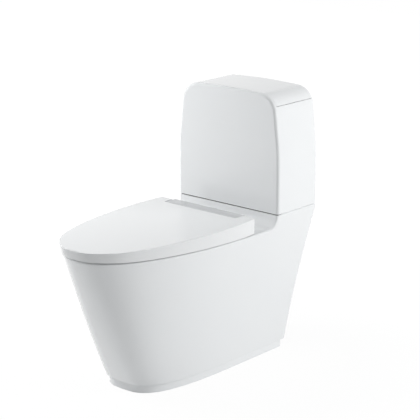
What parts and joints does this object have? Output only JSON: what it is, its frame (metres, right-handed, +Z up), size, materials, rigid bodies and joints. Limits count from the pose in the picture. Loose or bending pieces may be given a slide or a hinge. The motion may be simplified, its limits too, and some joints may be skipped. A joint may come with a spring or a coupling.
{
  "type": "close-coupled toilet",
  "caption": "Two-piece toilet: skirted china pan, vaulted cistern with a lift-off lid, wrap-over seat and cover on damped hinges, motor-lifted flush valve and float-shut fill valve.",
  "frame": {"origin": "on the floor under the middle of the bounding box", "axes": "+X across to the right hand of a person facing the cistern, +Y towards the wall behind, +Z up"},
  "size_m": [0.364, 0.781, 0.7595],
  "materials": {
    "china": "glazed white vitreous china",
    "seat_plastic": "glossy white thermoset",
    "hinge_plastic": "satin grey plastic",
    "seat_rubber": "pale soft rubber",
    "black_rubber": "matt black rubber",
    "damper_body": "grey moulded plastic",
    "steel": "stainless steel",
    "brass": "plain brass",
    "valve_white": "white acetal",
    "valve_blue": "blue moulded plastic",
    "valve_grey": "grey moulded plastic",
    "drive_plastic": "light grey ABS",
    "cells": "dark sleeved cells"
  },
  "bodies": {
    "pan": {"pan": "china", "cistern_tank": "china", "hinge_housing": "hinge_plastic", "dampers": "damper_body", "seat_bolts": "steel", "seat_bolt_sleeves": "black_rubber", "seat_bolt_caps": "hinge_plastic", "cistern_pads": "black_rubber", "cistern_gasket": "black_rubber", "tank_bolts": "brass", "tank_bolt_seals": "black_rubber", "tank_bolt_washers": "steel", "tank_bolt_nuts": "brass", "flush_valve_body": "valve_white", "flush_valve_washer": "black_rubber", "flush_valve_nut": "valve_white", "drive_case": "drive_plastic", "drive_cover": "drive_plastic", "gear_motor": "valve_grey", "battery_pack": "cells", "drive_bracket": "valve_grey", "bracket_screws": "steel", "fill_valve_body": "valve_white", "fill_valve_washer": "black_rubber", "fill_valve_nut": "valve_white", "fill_valve_cap": "valve_blue", "lever_pin": "steel"},
    "seat_ring": {"seat_ring": "seat_plastic", "ring_buffers": "seat_rubber", "ring_damper_shaft": "steel"},
    "seat_cover": {"seat_cover": "seat_plastic", "cover_buffers": "seat_rubber", "cover_damper_shaft": "steel"},
    "cistern_lid": {"cistern_lid": "china", "lid_pads": "seat_rubber"},
    "plunger": {"overflow_plunger": "valve_blue", "plunger_seal": "black_rubber"},
    "lift_arm": {"lift_arm": "valve_grey", "drive_shaft": "steel"},
    "float": {"float_cup": "valve_blue", "float_rod": "steel"},
    "float_lever": {"float_lever": "valve_grey"}
  },
  "joints": [
    {"name": "ring_hinge", "type": "hinge", "parent": "pan", "child": "seat_ring", "pos_m": [0, 0.1175, 0.4195], "axis": [-1, 0, 0], "range_deg": [0, 95]},
    {"name": "cover_hinge", "type": "hinge", "parent": "seat_ring", "child": "seat_cover", "pos_m": [0, 0.1175, 0.4195], "axis": [1, 0, 0], "range_deg": [-98, 0]},
    {"name": "lid_lift", "type": "slide", "parent": "pan", "child": "cistern_lid", "axis": [0, 0, 1], "range_m": [0, 0.25]},
    {"name": "plunger_lift", "type": "slide", "parent": "pan", "child": "plunger", "axis": [0, 0, 1], "range_m": [0, 0.02]},
    {"name": "arm_hinge", "type": "hinge", "parent": "pan", "child": "lift_arm", "pos_m": [0.07, 0.303, 0.69], "axis": [0, 1, 0], "range_deg": [0, 16.44]},
    {"name": "float_rise", "type": "slide", "parent": "pan", "child": "float", "axis": [0, 0, 1], "range_m": [0, 0.012]},
    {"name": "lever_hinge", "type": "hinge", "parent": "pan", "child": "float_lever", "pos_m": [-0.125, 0.312, 0.7], "axis": [-1, 0, 0], "range_deg": [0, 23.08]}
  ],
  "couplings": [
    {"joint": "arm_hinge", "follows": "plunger_lift", "rad_per_m": 14.335},
    {"joint": "lever_hinge", "follows": "float_rise", "rad_per_m": 33.56}
  ]
}
